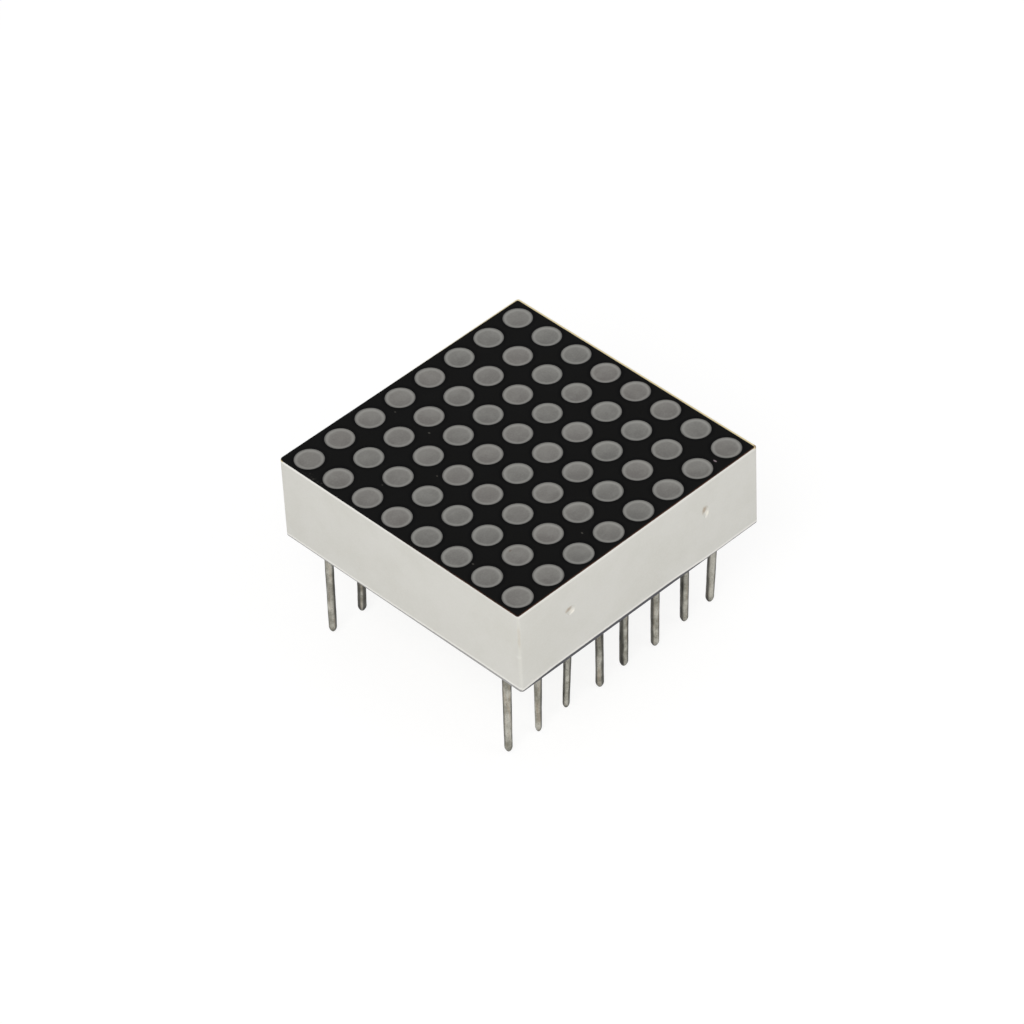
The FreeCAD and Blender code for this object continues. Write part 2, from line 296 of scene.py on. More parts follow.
def add_small_marks(skin, colour):
    """Scuffs on the near corner and at the right, and painted shade and highlight on the moulding marks."""
    wall = -BODY_HALF
    colour = skin.patch(colour, SCUFF_TAN, 0.45, (wall, wall, 4.45), (0.2, 0.2, 1.5),
                        edge=0.8, ragged=0.7, scale=2.2)
    colour = skin.patch(colour, WALL_HIGHLIGHT_AND_FLECK, 0.25, (wall, wall + 0.1, 2.85), (0.25, 0.25, 0.22),
                        edge=0.7, ragged=0.6)
    colour = skin.patch(colour, FRINGE_BROWN, 0.8, (BODY_HALF, wall + 0.05, SHELL_TOP), (0.3, 0.3, 0.2),
                        edge=0.6, ragged=0.4)
    for x, z, half_width, half_height in MARKS:
        # Painted shade on the upper side of each mark, and a painted highlight on its lower side
        centre = (x - 0.35 * half_width, wall, z + 0.4 * half_height)
        colour = skin.patch(colour, MARK_PAINTED_SHADE, 0.75, centre, (half_width, 0.3, half_height * 0.8),
                            edge=0.8, ragged=0.8)
        centre = (x + 0.3 * half_width, wall, z - 0.35 * half_height)
        colour = skin.patch(colour, MARK_PAINTED_HIGHLIGHT, 0.9, centre, (half_width * 0.7, 0.3, half_height * 0.55),
                            edge=0.8, ragged=0.5)
    return colour


def white_plastic():
    """Matt moulded plastic, with a painted shadow and highlight along its foot, a painted highlight along
    its upper edge, small scuffs, and painted shade on the moulding marks.
    """
    skin = Finish("white_plastic", Specular_IOR_Level=0.35)
    cloudy = skin.noise(0.35, detail=4.0)
    fine = skin.noise(7.0, detail=5.0, roughness=0.7)
    colour = skin.cover(WALL_WHITE, WALL_SHADE, skin.between(cloudy, 0.35, 0.7))
    colour = skin.cover(colour, WALL_LIGHT, skin.between(fine, 0.3, 0.75, 0.0, 0.22))
    front_wall = skin.between(skin.axes()[1], 0.01 - BODY_HALF, 0.1 - BODY_HALF, 1.0, 0.0)
    side_wall = skin.maths("SUBTRACT", 1.0, front_wall)
    colour = add_painted_foot_shade(skin, colour, front_wall, side_wall)
    colour = add_painted_upper_highlight(skin, colour, front_wall, side_wall)
    colour = add_small_marks(skin, colour)
    normal = skin.bump(skin.noise(0.5), 0.006)
    normal = skin.bump(fine, 0.004, below=normal)
    return skin.finish(colour, skin.between(cloudy, 0.3, 0.7, 0.46, 0.56), normal)


INK_BLACK = paint(10, 10, 10)
INK_WORN = paint(20, 20, 19)
INK_DEEP = paint(3, 3, 4)
INK_BROWN = paint(96, 66, 52)
INK_FADE = 0.07
DUST = paint(112, 110, 104)
FLECK_PINK = paint(176, 160, 168)

# Specks of dust on the ink: X, Y and radius
SPECKS = ((-2.48, 8.09, 0.07), (-2.42, 5.19, 0.09), (-4.81, 2.06, 0.07), (-8.78, -5.04, 0.08),
          (-2.5, -7.87, 0.08), (3.85, 6.3, 0.05), (6.4, -3.75, 0.06), (-7.6, 3.9, 0.05))


def black_ink():
    """Printed matt ink: deeper next to the dots, brown where it thins out, with a little dust."""
    skin = Finish("black_ink", Specular_IOR_Level=0.04)
    grain = skin.noise(9.0, detail=4.0, roughness=0.7)
    cloud = skin.noise(0.5)
    colour = skin.cover(INK_BLACK, INK_WORN, skin.between(grain, 0.35, 0.8, 0.0, 0.35))
    colour = skin.cover(colour, INK_WORN, skin.between(cloud, 0.45, 0.75, 0.0, 0.3))
    _, radius, _ = skin.from_dot()
    near_dot = skin.between(radius, DOT_RADIUS + 0.08, DOT_RADIUS + 0.3, 1.0, 0.0)
    colour = skin.cover(colour, INK_DEEP, near_dot, 0.85)

    # Thin ink along the two near edges, on the left one only where it comes near
    x, y, _ = skin.axes()
    thin_front = skin.between(y, INK_FRONT, INK_FRONT + INK_FADE, 1.0, 0.0)
    thin_left = skin.between(x, INK_LEFT, INK_LEFT + INK_FADE, 1.0, 0.0)
    thin_left = skin.times(thin_left, skin.between(y, -9.0, 2.0, 1.0, 0.0))
    uneven = skin.between(skin.noise(0.9), 0.3, 0.6, 0.4, 0.9)
    thin = skin.times(skin.maths("MAXIMUM", thin_front, thin_left), uneven)
    colour = skin.cover(colour, INK_BROWN, thin)

    for speck_x, speck_y, size in SPECKS:
        colour = skin.patch(colour, DUST, 0.4, (speck_x, speck_y, FACE), (size, size * 1.4, 0.2),
                            edge=0.8, ragged=0.6, scale=5.0)
    colour = skin.patch(colour, FLECK_PINK, 0.65, (7.46, -9.27, FACE), (0.07, 0.17, 0.2),
                        edge=0.6, ragged=0.6, scale=6.0)
    smear = skin.blob((-9.95, 7.6, FACE), (0.2, 1.2, 0.3), edge=0.9, ragged=0.9)
    grit = skin.between(skin.noise(5.0, detail=2.0), 0.52, 0.68)
    colour = skin.cover(colour, DUST, skin.times(smear, grit), 0.5)

    normal = skin.bump(grain, 0.004)
    normal = skin.bump(skin.noise(1.1, detail=2.0), 0.006, below=normal)
    return skin.finish(colour, skin.between(cloud, 0.3, 0.7, 0.5, 0.62), normal)


RESIN_CORE = paint(95, 94, 91)
RESIN_RIM = paint(168, 168, 164)
RESIN_WARM = paint(100, 95, 92)
RESIN_EDGE = paint(56, 55, 53)
DOT_DIRT = paint(92, 78, 62)


def grey_resin():
    """Diffusing resin: grey in the middle of each dot, and paler near the well's white wall, with painted
    light on the far side of each dot.
    """
    skin = Finish("grey_resin", Specular_IOR_Level=0.3, Subsurface_Weight=0.0)
    cell, radius, flat = skin.from_dot()
    of_cell = skin.tree.nodes.new("ShaderNodeTexWhiteNoise")
    skin.put(of_cell.inputs["Vector"], cell)
    own_warmth = skin.between(of_cell.outputs["Value"], 0.0, 1.0, 0.0, 0.6)

    soft = skin.noise(0.9)
    grain = skin.noise(8.0, detail=4.0, roughness=0.7)
    wave = skin.times(skin.maths("SUBTRACT", soft, 0.5), 0.1)
    wavy_radius = skin.maths("ADD", radius, wave)
    pale_ring = skin.between(wavy_radius, 0.62, 0.8)
    dark_ring = skin.between(wavy_radius, 0.81, 0.95)
    x, y, _ = skin.axes(flat)
    far_side_painted_light = skin.between(skin.maths("ADD", x, y), -1.3, 1.3)
    colour = skin.cover(RESIN_CORE, RESIN_WARM, own_warmth)
    colour = skin.cover(colour, RESIN_RIM, skin.between(soft, 0.35, 0.7, 0.0, 0.16))
    colour = skin.cover(colour, RESIN_RIM, skin.between(grain, 0.35, 0.75, 0.0, 0.14))
    # Painted light: each dot lighter on its far side, toward +X and +Y
    colour = skin.cover(colour, RESIN_RIM, far_side_painted_light, 0.23)
    colour = skin.cover(colour, RESIN_RIM, pale_ring, 0.32)
    colour = skin.cover(colour, RESIN_EDGE, dark_ring, 0.7)
    colour = skin.patch(colour, DOT_DIRT, 0.6, (-6.44, -5.78, FACE), (0.16, 0.1, 0.3),
                        edge=0.7, ragged=0.8, scale=6.0)
    return skin.finish(colour, skin.between(soft, 0.3, 0.7, 0.34, 0.46), skin.bump(grain, 0.003))


TIN_LIGHT = paint(190, 188, 178)
TIN_DULL = paint(138, 136, 125)
TIN_DARK = paint(48, 47, 43)
TIN_WARM = paint(170, 148, 122)


def tinned_wire():
    """Dull tinned wire: mottled grey-green, with painted shade along its sides, and dark tarnish at the cut
    tip and in patches.
    """
    skin = Finish("tinned_wire", Metallic=0.45, Specular_IOR_Level=0.4)
    mottle = skin.noise(1.6, detail=5.0, roughness=0.65, stretch=(1.0, 1.0, 0.7))
    streak = skin.noise(6.0, stretch=(1.0, 1.0, 0.08))
    grain = skin.noise(11.0)
    colour = skin.cover(TIN_LIGHT, TIN_DULL, skin.between(mottle, 0.35, 0.65))
    colour = skin.cover(colour, TIN_WARM, skin.between(streak, 0.5, 0.75, 0.0, 0.5))
    colour = skin.cover(colour, TIN_DARK, skin.between(grain, 0.52, 0.72, 0.0, 0.4))
    # Painted shade on the sides of each wire, with tarnish at the tip and in patches, from the value on its
    # vertices
    colour = skin.cover(colour, TIN_DARK, skin.attribute("side_shade_and_tarnish"))
    normal = skin.bump(mottle, 0.05)
    normal = skin.bump(grain, 0.008, below=normal)
    return skin.finish(colour, skin.between(mottle, 0.3, 0.7, 0.42, 0.6), normal)


POTTING_LIGHT = paint(196, 190, 168)
POTTING_DEEP = paint(172, 163, 136)


def cast_resin():
    """Cast sealing resin, cloudy and glossy, with small bubbles."""
    skin = Finish("cast_resin", Specular_IOR_Level=0.5, Coat_Weight=0.3, Coat_Roughness=0.12)
    cloud = skin.noise(0.3, detail=4.0)
    bubbles = skin.tree.nodes.new("ShaderNodeTexVoronoi")
    skin.put(bubbles.inputs["Vector"], skin.place)
    bubbles.inputs["Scale"].default_value = 0.8
    pit = skin.between(bubbles.outputs["Distance"], 0.04, 0.1, 1.0, 0.0)
    colour = skin.cover(POTTING_LIGHT, POTTING_DEEP, skin.between(cloud, 0.35, 0.65))
    colour = skin.cover(colour, POTTING_DEEP, pit, 0.5)
    normal = skin.bump(skin.noise(0.25, detail=2.0), 0.06)
    normal = skin.bump(pit, -0.02, below=normal)
    return skin.finish(colour, skin.between(cloud, 0.3, 0.7, 0.2, 0.34), normal)


BOARD_GREEN = paint(120, 142, 84)
BOARD_WEAVE = paint(138, 156, 102)

# Radians of the weave's wave in a millimetre
WEAVE = 12.0


def laminate():
    """Glass-fibre board, with a faint weave."""
    skin = Finish("laminate", Specular_IOR_Level=0.5)
    x, y, _ = skin.axes()
    warp, weft = (skin.maths("SINE", skin.times(axis, WEAVE)) for axis in (x, y))
    weave = skin.times(warp, weft)
    colour = skin.cover(BOARD_GREEN, BOARD_WEAVE, skin.between(weave, -0.6, 0.6))
    roughness = skin.between(skin.noise(2.0), 0.3, 0.7, 0.4, 0.5)
    return skin.finish(colour, roughness, skin.bump(weave, 0.01))


CHIP_GOLD = paint(214, 188, 110)
CHIP_DARK = paint(150, 120, 60)


def chip():
    """Small bare chips, gold with darker patches."""
    skin = Finish("chip", Specular_IOR_Level=0.5)
    shade = skin.noise(6.0)
    colour = skin.cover(CHIP_GOLD, CHIP_DARK, skin.between(shade, 0.35, 0.65))
    return skin.finish(colour, skin.between(shade, 0.3, 0.7, 0.25, 0.4), skin.bump(shade, 0.004))


# Meshes

# Degrees past which faces that meet keep a sharp edge. The walls and the ink need small ones,
# because their flat faces would otherwise take on the shading of the small forms next to them.
WALL_SOFT = 16
INK_SOFT = 15
CAST_SOFT = 50
WIRE_SOFT = 60


def mesh_of(name, bm, soft_angle=35):
    """A mesh with smooth faces and sharp edges past that many degrees."""
    bmesh.ops.recalc_face_normals(bm, faces=bm.faces)
    mesh = bpy.data.meshes.new(name)
    bm.to_mesh(mesh)
    bm.free()
    mesh.shade_smooth()
    mesh.set_sharp_from_angle(angle=math.radians(soft_angle))
    return mesh


def set_piece(name, mesh, material, slot, *nodes):
    """Puts a mesh drawn in millimetres into the scene, on the part, in place of those nodes."""
    mesh.transform(Matrix.Scale(MM, 4))
    mesh.materials.clear()
    mesh.materials.append(material)
    piece = bpy.data.objects.new(name, mesh)
    bpy.context.scene.collection.objects.link(piece)
    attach(piece, "root")
    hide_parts(*nodes)
    return piece


def dress(material, *nodes):
    """Gives a material to nodes that keep the frame's own mesh."""
    for node in nodes:
        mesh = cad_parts[node].data
        mesh.materials.clear()
        mesh.materials.append(material)


def direction(angle):
    """The point at that angle on a circle of radius 1."""
    return Vector((math.cos(angle), math.sin(angle)))


def rounded_square(half, radius, steps=6):
    """Points round a square with round corners, the same number for every size."""
    points = []
    for turn in range(4):
        corner = math.radians(90) * (turn + 0.5)
        middle = Vector((math.copysign(half - radius, math.cos(corner)),
                         math.copysign(half - radius, math.sin(corner))))
        for step in range(steps + 1):
            angle = math.radians(90) * (turn + step / steps)
            points.append(middle + radius * direction(angle))
    return points


def circle(radius, z, sides, x=0.0, y=0.0, wave=0.0, seed=0.0):
    """Points round a circle, which may waver a little."""
    points = []
    for side in range(sides):
        out = direction(2 * math.pi * side / sides).to_3d()
        reach = radius + wave * noise.noise(out * 1.7 + Vector((x, y, seed)))
        points.append(Vector((x, y, z)) + out * reach)
    return points


def quarter_edge(half, z, radius, upward, steps=6):
    """(half, z) pairs over a rounded edge that ends a wall: from the wall inward."""
    pairs = []
    for step in range(steps + 1):
        angle = math.radians(90) * step / steps
        inward = radius * (1 - math.cos(angle))
        rise = radius * math.sin(angle)
        pairs.append((half - inward, z + rise if upward else z - rise))
    return pairs


def loft(bm, rings):
    """Joins rings of points of equal number with faces, and closes both ends."""
    loops = [[bm.verts.new(point) for point in ring] for ring in rings]
    for below, above in zip(loops, loops[1:]):
        for index in range(len(below)):
            after = (index + 1) % len(below)
            bm.faces.new((below[index], below[after], above[after], above[index]))
    bm.faces.new(list(reversed(loops[0])))
    bm.faces.new(loops[-1])


def evaluated_mesh(item):
    """The mesh that an object in the scene has once its modifiers are applied."""
    bpy.context.view_layer.update()
    depsgraph = bpy.context.evaluated_depsgraph_get()
    return bpy.data.meshes.new_from_object(item.evaluated_get(depsgraph))


def cut(mesh, tool_mesh):
    """The mesh with the tool's solids cut out of it."""
    body = bpy.data.objects.new("cut_body", mesh)
    tool = bpy.data.objects.new("cut_tool", tool_mesh)
    for item in (body, tool):
        bpy.context.scene.collection.objects.link(item)
    modifier = body.modifiers.new("cut", "BOOLEAN")
    modifier.operation = "DIFFERENCE"
    modifier.solver = "EXACT"
    modifier.object = tool
    result = evaluated_mesh(body)
    for item in (body, tool):
        bpy.data.objects.remove(item)
    return result


def dot_places():
    """(row, x, y) of every dot, row by row from the front."""
    for row in range(DOTS):
        for column in range(DOTS):
            yield row, PRINT_X - GRID_HALF + column * PITCH, PRINT_Y - GRID_HALF + row * PITCH


WELL_SIDES = 40
DOT_SIDES = 44
MARK_SIDES = 24
CUT_PAST = 0.1

# A moulding mark from its floor outward: depth in the wall, and share of its width
MARK_RINGS = ((MARK_DEPTH, 0.3), (MARK_DEPTH * 0.8, 0.72), (0.0, 0.9), (-0.05, 1.0))


def make_shell():
    """Four walls with soft edges, closed by the front, over a recess in the back."""
    upper = quarter_edge(BODY_HALF, SHELL_TOP - UPPER_EDGE, UPPER_EDGE, True)
    lower = quarter_edge(BODY_HALF, BODY_BACK + LOWER_EDGE, LOWER_EDGE, False)
    inner = [(RECESS_HALF, RECESS_TOP), (RECESS_HALF, 0.06), (RECESS_HALF + 0.04, BODY_BACK)]
    rings = []
    for half, z in inner + list(reversed(lower)) + upper:
        in_recess = half <= RECESS_HALF + 0.1
        radius = RECESS_CORNER if in_recess else max(0.05, WALL_CORNER - (BODY_HALF - half))
        rings.append([Vector((p.x, p.y, z)) for p in rounded_square(half, radius)])
    bm = bmesh.new()
    loft(bm, rings)
    return mesh_of("housing_shell", bm)


def make_shell_cutters():
    """The space of the 64 tapered wells and of the moulding marks."""
    bm = bmesh.new()
    for _, x, y in dot_places():
        foot = circle(WELL_FOOT, RECESS_TOP - CUT_PAST, WELL_SIDES, x, y)
        loft(bm, [foot, circle(WELL_MOUTH, SHELL_TOP + CUT_PAST, WELL_SIDES, x, y)])
    for x, z, half_width, half_height in MARKS:
        rings = []
        for depth, share in MARK_RINGS:
            ring = circle(share, 0.0, MARK_SIDES, wave=0.2, seed=x)
            rings.append([Vector((x + p.x * half_width, -BODY_HALF + depth, z + p.y * half_height))
                          for p in ring])
        loft(bm, rings)
    return mesh_of("shell_cutters", bm)


def make_housing(material):
    """The moulded white body."""
    shell = cut(make_shell(), make_shell_cutters())
    shell.shade_smooth()
    shell.set_sharp_from_angle(angle=math.radians(WALL_SOFT))
    set_piece("housing_shell", shell, material, "housing", "housing")


INK_CORNER_STEPS = 4
INK_EDGE_STEPS = 70
INK_WAVE = 0.008
INK_ROUNDING = 0.008
WINDOW_WAVE = 0.012
SAME_PLACE = 0.0005


def ink_outline():
    """The print's outer edge: a rectangle whose sides waver by about a hundredth of a millimetre."""
    corners = ((INK_RIGHT, INK_BACK_RIGHT), (INK_LEFT, INK_BACK_LEFT), (INK_LEFT, INK_FRONT),
               (INK_RIGHT, INK_FRONT))
    turns = ((1, 1), (-1, 1), (-1, -1), (1, -1))
    middles = [Vector((x - sx * radius, y - sy * radius))
               for (x, y), (sx, sy), radius in zip(corners, turns, INK_CORNERS)]
    points = []
    for index, middle in enumerate(middles):
        for step in range(INK_CORNER_STEPS + 1):
            angle = math.radians(90) * (index + step / INK_CORNER_STEPS)
            points.append(middle + INK_CORNERS[index] * direction(angle))
        outward = direction(math.radians(90) * (index + 1))
        start = points[-1]
        following = (index + 1) % len(corners)
        end = middles[following] + INK_CORNERS[following] * outward
        for step in range(1, INK_EDGE_STEPS):
            point = start.lerp(end, step / INK_EDGE_STEPS)
            wave = noise.noise(Vector((point.x * 0.9, point.y * 0.9, 3.0)))
            wave += 0.6 * noise.noise(Vector((point.x * 3.1, point.y * 3.1, 7.0)))
            points.append(point + outward * INK_WAVE * wave)
    return points


def make_ink(material):
    """The printed black layer, with a hole for each dot."""
    curve = bpy.data.curves.new("face_ink", "CURVE")
    curve.dimensions = "2D"
    curve.fill_mode = "BOTH"
    curve.extrude = (FACE - SHELL_TOP) / 2 - INK_ROUNDING
    curve.bevel_depth = INK_ROUNDING
    curve.bevel_resolution = 1
    curve.offset = -INK_ROUNDING
    loops = [ink_outline()]
    for _, x, y in dot_places():
        loops.append(circle(DOT_RADIUS, 0.0, DOT_SIDES, x, y, wave=WINDOW_WAVE, seed=5.0))
    for loop in loops:
        spline = curve.splines.new("POLY")
        spline.points.add(len(loop) - 1)
        for point, place in zip(spline.points, loop):
            point.co = (place.x, place.y, 0.0, 1.0)
        spline.use_cyclic_u = True
    drawn = bpy.data.objects.new("face_ink_curve", curve)
    bpy.context.scene.collection.objects.link(drawn)
    mesh = evaluated_mesh(drawn)
    bpy.data.objects.remove(drawn)
    mesh.transform(Matrix.Translation((0, 0, (FACE + SHELL_TOP) / 2)))
    bm = bmesh.new()
    bm.from_mesh(mesh)
    bmesh.ops.remove_doubles(bm, verts=bm.verts, dist=SAME_PLACE)
    set_piece("face_ink", mesh_of("face_ink", bm, INK_SOFT), material, "mask", "front_mask")


# The hollow face of a dot: rings at these shares of its radius, sinking with this power of the share
DOT_RINGS = (0.975, 0.93, 0.86, 0.76, 0.62, 0.46, 0.3, 0.14)
DOT_HOLLOW = 2.6
DOT_SINK, DOT_SINK_VARIES = 0.09, 0.015

# The foot of a dot clears the chip on the board, and its rim lies just below the face.
ABOVE_CHIP = 0.22
BELOW_FACE = 0.006


def make_dots(material):
    """Eight rows of cast dots: each a tapered plug with a face that sinks a little in its middle."""
    foot = RECESS_TOP + ABOVE_CHIP
    rim = FACE - BELOW_FACE
    rows = [bmesh.new() for row in range(DOTS)]
    for row, x, y in dot_places():
        sink = DOT_SINK + DOT_SINK_VARIES * noise.noise(Vector((x, y, 1.0)))
        profile = [(WELL_FOOT, foot), (WELL_MOUTH - 0.02, SHELL_TOP - 0.03),
                   (DOT_RADIUS - 0.014, SHELL_TOP - 0.004), (DOT_RADIUS - 0.008, rim - 0.006)]
        for share in DOT_RINGS:
            profile.append((DOT_RADIUS * share, rim - sink * (1 - share ** DOT_HOLLOW)))
        loft(rows[row], [circle(radius, z, DOT_SIDES, x, y) for radius, z in profile])
    for row, bm in enumerate(rows, start=1):
        mesh = mesh_of(f"dots_{row}", bm, CAST_SOFT)
        set_piece(f"dots_{row}", mesh, material, "dot_resin", f"dot_row_{row}")


# The wires that the photograph shows: shift at the root and at the tip, tip height, width at the
# root and at the tip, and degrees of painted shade inward from the left and the right of the view
FRONT_WIRES = ((-0.05, -0.23, -7.32, 1.2, 1.0, 48, 47), (0.04, -0.22, -7.48, 1.15, 0.82, 32, 64),
               (0.15, -0.38, -7.16, 1.1, 0.86, 66, 66), (0.22, 0.0, -7.5, 1.02, 1.04, 56, 70),
               (-0.14, -0.43, -7.19, 1.14, 1.1, 94, 58), (0.02, -0.23, -7.43, 1.16, 1.06, 78, 48),
               (0.08, -0.16, -7.21, 1.12, 1.08, 84, 52), (0.16, -0.42, -7.1, 1.18, 1.06, 70, 54))
BACK_WIRES_SEEN = ((-0.19, -0.35, -7.14, 1.14, 1.0, 40, 66), (-0.05, -0.39, -7.09, 1.12, 1.12, 80, 90))

# The same for a hidden wire, as the range that each value is drawn from
HIDDEN_WIRE = ((-0.1, 0.2), (-0.35, 0.1), (-7.45, -7.1), (1.1, 1.18), (1.0, 1.1), (45, 80), (45, 80))

# The side of a wire that faces the photograph, and how far its root reaches into the potting
FACING = math.radians(-133)
ROOT_REACH = 1.0
WIRE_SIDES = 28
WIRE_RINGS = 44

# Painted shade along the sides of a wire: how far its edge is ragged and fades, and where it ends behind,
# all in degrees round the wire; and how far the dark tarnish reaches up from the tip
SIDE_SHADE_RAGGED = 14
SIDE_SHADE_FADE = 18
SIDE_SHADE_END, SIDE_SHADE_END_FADE = 145, 40
OXIDE_TIP = 0.42

# Height above the tip, and how full the wire is there
TIP_SHAPE = ((0.0, 0.3), (0.03, 0.47), (0.1, 0.66), (0.19, 0.83), (0.27, 0.94), (0.36, 1.0))


def tip_share(rise):
    """How full the wire is at that height above its tip."""
    for (low, first), (high, second) in zip(TIP_SHAPE, TIP_SHAPE[1:]):
        if rise <= high:
            return first + (second - first) * (rise - low) / (high - low)
    return 1.0


def wire_shade_and_tarnish_share(turn, z, tip, seed, left_shade, right_shade):
    """How dark a wire is at a height and that many degrees to the right of where it is seen from: painted
    shade on its sides, and tarnish at the tip and in patches.
    """
    # Painted shade on the sides that face left and right of the view
    ragged = SIDE_SHADE_RAGGED * noise.noise(Vector((z * 1.1, seed, turn / 60)))
    edge = abs(turn) + (right_shade if turn > 0 else left_shade) - 90 + ragged
    side = max(0.0, min(1.0, edge / SIDE_SHADE_FADE, (SIDE_SHADE_END - abs(turn)) / SIDE_SHADE_END_FADE))
    end = max(0.0, 1.0 - (z - tip) / OXIDE_TIP)
    patch = max(0.0, noise.noise(Vector((z * 0.9, seed, turn / 60))) - 0.2)
    return min(1.0, 0.85 * side + 0.85 * end + 0.6 * patch)


def make_wire(number, x, y, shape, material):
    """One wire pin: round, slightly lumpy, leaning, with a blunt tip and painted shade on its sides."""
    root_shift, tip_shift, tip, root_width, tip_width, left_shade, right_shade = shape
    tip = max(tip, PIN_TIP)
    seed = number * 3.7

    def middle(z):
        """Where along X the wire's middle is at that height."""
        return x + root_shift + (tip_shift - root_shift) * max(0.0, z / tip)

    bm = bmesh.new()
    side_shade_and_tarnish = bm.verts.layers.float.new("side_shade_and_tarnish")
    rises = [rise for rise, _ in TIP_SHAPE]
    above_tip = ROOT_REACH - tip - rises[-1]
    rises += [rises[-1] + above_tip * step / WIRE_RINGS for step in range(1, WIRE_RINGS + 1)]
    rings = []
    for rise in rises:
        z = tip + rise
        sway = 0.02 * noise.noise(Vector((z * 0.5, seed, 0.0)))
        width = root_width + (tip_width - root_width) * max(0.0, z / tip)
        ring = []
        for side in range(WIRE_SIDES):
            out = direction(2 * math.pi * side / WIRE_SIDES).to_3d()
            lump = 1.0 + 0.05 * noise.noise(out * 0.8 + Vector((seed, 0, z * 0.8)))
            lump += 0.025 * noise.noise(out * 1.6 + Vector((0, seed, z * 2.6)))
            reach = PIN_RADIUS * width * lump * tip_share(rise)
            ring.append(Vector((middle(z) + sway, y + sway, z)) + out * reach)
        rings.append(ring)
    loft(bm, rings)

    for vert in bm.verts:
        z = vert.co.z
        turn = math.atan2(vert.co.y - y, vert.co.x - middle(z)) - FACING
        turn = math.degrees(math.remainder(turn, 2 * math.pi))
        vert[side_shade_and_tarnish] = wire_shade_and_tarnish_share(turn, z, tip, seed, left_shade, right_shade)
    name = f"wire_{number:02d}"
    set_piece(name, mesh_of(name, bm, WIRE_SOFT), material, "pin", f"pin_{number:02d}")


def make_wires(material):
    """Pins 1 to 8 along the front, and 9 to 16 back along the other side."""
    for index in range(DOTS):
        x = -GRID_HALF + index * PITCH
        make_wire(index + 1, x, -PIN_ROW_HALF, FRONT_WIRES[index], material)
        if index < len(BACK_WIRES_SEEN):
            shape = BACK_WIRES_SEEN[index]
        else:
            shape = [random.uniform(low, high) for low, high in HIDDEN_WIRE]
        make_wire(2 * DOTS - index, x, PIN_ROW_HALF, shape, material)


POTTING_CELLS = 120

# The potting's back lies at this depth in the body. At the walls and round each wire it is
# drawn outward by the first value, over a distance set by the second.
POTTING_SUNK = 0.07
AT_WALL = (0.07, 0.2)
AT_WIRE = (0.3, 0.16)


def make_potting(material):
    """The resin that closes the back: sunk a little, and drawn up round each wire and at the walls."""
    roots = [Vector((-GRID_HALF + i * PITCH, side * PIN_ROW_HALF)) for i in range(DOTS) for side in (-1, 1)]

    def level(x, y):
        to_wall = POTTING_HALF - max(abs(x), abs(y))
        to_wire = min((Vector((x, y)) - root).length for root in roots) - PIN_RADIUS
        z = POTTING_SUNK + 0.02 * noise.noise(Vector((x * 0.25, y * 0.25, 2.0)))
        z -= AT_WALL[0] * math.exp(-to_wall / AT_WALL[1])
        z -= AT_WIRE[0] * math.exp(-max(0.0, to_wire) / AT_WIRE[1])
        return z

    cells = POTTING_CELLS
    bm = bmesh.new()
    lines = [-POTTING_HALF + 2 * POTTING_HALF * i / cells for i in range(cells + 1)]
    grid = [[bm.verts.new((x, y, level(x, y))) for x in lines] for y in lines]
    for j in range(cells):
        for i in range(cells):
            bm.faces.new((grid[j][i], grid[j][i + 1], grid[j + 1][i + 1], grid[j + 1][i]))
    rim = [grid[0][i] for i in range(cells)] + [grid[j][cells] for j in range(cells)]
    rim += [grid[cells][i] for i in range(cells, 0, -1)] + [grid[j][0] for j in range(cells, 0, -1)]
    top = [bm.verts.new((v.co.x, v.co.y, POTTING_TOP)) for v in rim]
    for index in range(len(rim)):
        after = (index + 1) % len(rim)
        bm.faces.new((rim[index], rim[after], top[after], top[index]))
    bm.faces.new(top)
    set_piece("back_resin", mesh_of("back_resin", bm, CAST_SOFT), material, "potting", "back_potting")


# Floor, lamps and camera

def seen_directly(tree):
    """1 for what the camera, a reflection or a transmission sees, and 0 for light on the part."""
    path = tree.nodes.new("ShaderNodeLightPath")
    share = path.outputs["Is Camera Ray"]
    for ray in ("Is Glossy Ray", "Is Transmission Ray"):
        larger = tree.nodes.new("ShaderNodeMath")
        larger.operation = "MAXIMUM"
        tree.links.new(share, larger.inputs[0])
        tree.links.new(path.outputs[ray], larger.inputs[1])
        share = larger.outputs[0]
    return share


def shader(tree, kind, colour, strength=None):
    """The output of a new shader node of that colour."""
    node = tree.nodes.new(f"ShaderNode{kind}")
    node.inputs["Color"].default_value = colour
    if strength is not None:
        node.inputs["Strength"].default_value = strength
    return node.outputs[0]


def show_two_looks(tree, output, for_light, for_eye):
    """Uses one shader for the light on the part, and the other for what is seen directly."""
    choice = tree.nodes.new("ShaderNodeMixShader")
    tree.links.new(seen_directly(tree), choice.inputs[0])
    tree.links.new(for_light, choice.inputs[1])
    tree.links.new(for_eye, choice.inputs[2])
    tree.links.new(choice.outputs[0], tree.nodes.new(output).inputs[0])


FLOOR_GREY = (0.78, 0.78, 0.78, 1.0)
FLOOR_SHADOW = (0.22, 0.22, 0.22, 1.0)
FLOOR_GLOW = 0.83
FLOOR_REACH = 3.0
WHITE = (1.0, 1.0, 1.0, 1.0)
WORLD_WARM = (1.0, 0.995, 0.985, 1.0)
WORLD_LIGHT = 0.52


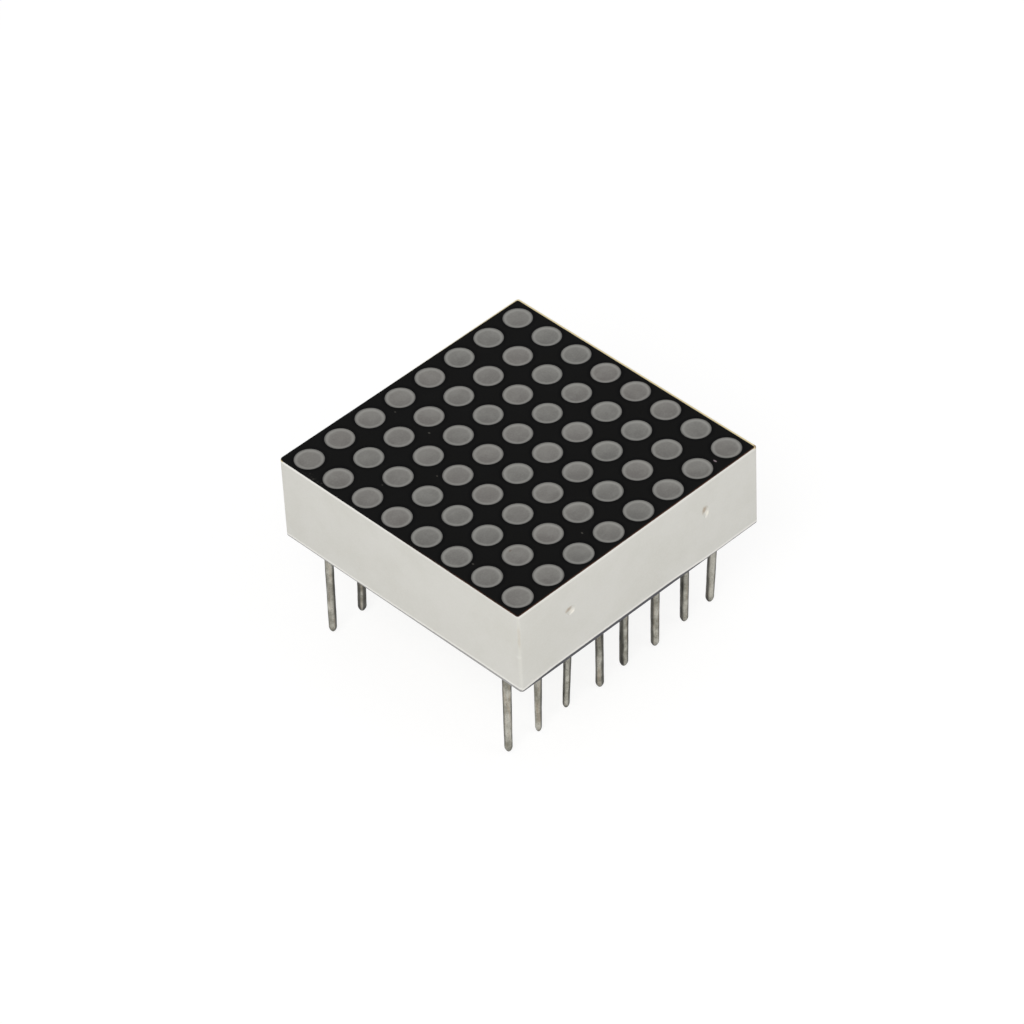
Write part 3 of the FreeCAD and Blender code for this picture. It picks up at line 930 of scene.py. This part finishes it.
def white_floor():
    """A pale floor that the camera sees as white, and that keeps the shadow."""
    material = bpy.data.materials.new("floor_white")
    material.use_nodes = True
    tree = material.node_tree
    tree.nodes.clear()
    both = tree.nodes.new("ShaderNodeAddShader")
    tree.links.new(shader(tree, "BsdfDiffuse", FLOOR_SHADOW), both.inputs[0])
    tree.links.new(shader(tree, "Emission", WHITE, FLOOR_GLOW), both.inputs[1])
    plain = shader(tree, "BsdfDiffuse", FLOOR_GREY)
    show_two_looks(tree, "ShaderNodeOutputMaterial", plain, both.outputs[0])
    return material


def make_floor():
    """A flat square under the tips of the pins."""
    low, high, level = -FLOOR_REACH, FLOOR_REACH, PIN_TIP * MM
    mesh = bpy.data.meshes.new("floor")
    corners = [(low, low, level), (high, low, level), (high, high, level), (low, high, level)]
    mesh.from_pydata(corners, [], [(0, 1, 2, 3)])
    mesh.materials.append(white_floor())
    floor = bpy.data.objects.new("floor", mesh)
    bpy.context.scene.collection.objects.link(floor)


def make_world():
    """Even light from all round, with a white that only the camera and reflections see."""
    world = bpy.data.worlds.new("studio")
    bpy.context.scene.world = world
    world.use_nodes = True
    tree = world.node_tree
    tree.nodes.clear()
    light = shader(tree, "Background", WORLD_WARM, WORLD_LIGHT)
    white = shader(tree, "Background", WHITE, 1.0)
    show_two_looks(tree, "ShaderNodeOutputWorld", light, white)


def make_lamp(name, place, size, power, colour=(1.0, 1.0, 1.0)):
    """A soft square lamp that points at the part."""
    data = bpy.data.lights.new(name, "AREA")
    data.size = size
    data.energy = power
    data.color = colour
    lamp = bpy.data.objects.new(name, data)
    lamp.location = place
    lamp.rotation_mode = "QUATERNION"
    lamp.rotation_quaternion = Vector(place).to_track_quat("Z", "Y")
    bpy.context.scene.collection.objects.link(lamp)


CAMERA_PLACE = Vector((-163.43, -174.68, 220.06))
CAMERA_AZIMUTH = math.radians(-42.964)
CAMERA_ELEVATION = math.radians(42.437)
CAMERA_ROLL = math.radians(-2.935)
CAMERA_LENS = 187.3


def make_camera():
    """The photograph's view: down on the face from above the corner where its two near walls meet."""
    level = math.cos(CAMERA_ELEVATION)
    back = Vector((math.sin(CAMERA_AZIMUTH) * level, -math.cos(CAMERA_AZIMUTH) * level,
                   math.sin(CAMERA_ELEVATION)))
    right = Vector((0.0, 0.0, 1.0)).cross(back).normalized()
    up = back.cross(right)
    turned_right = right * math.cos(CAMERA_ROLL) + up * math.sin(CAMERA_ROLL)
    turned_up = up * math.cos(CAMERA_ROLL) - right * math.sin(CAMERA_ROLL)
    data = bpy.data.cameras.new("camera")
    data.lens = CAMERA_LENS
    data.clip_start = 0.01
    data.clip_end = 20.0
    camera = bpy.data.objects.new("camera", data)
    turn = Matrix((turned_right, turned_up, back)).transposed()
    camera.matrix_world = Matrix.Translation(CAMERA_PLACE * MM) @ turn.to_4x4()
    bpy.context.scene.collection.objects.link(camera)
    bpy.context.scene.camera = camera


bpy.context.scene.view_settings.view_transform = "Standard"
make_camera()
make_world()
make_lamp("key_lamp", (-0.42, -0.26, 0.5), size=0.4, power=2.3, colour=(1.0, 0.99, 0.97))
make_lamp("fill_lamp", (0.2, -0.5, 0.3), size=0.35, power=0.4)
make_floor()

make_housing(white_plastic())
make_ink(black_ink())
make_dots(grey_resin())
make_wires(tinned_wire())
make_potting(cast_resin())
dress(laminate(), "circuit_board")
dress(chip(), *(f"led_row_{row}" for row in range(1, DOTS + 1)))
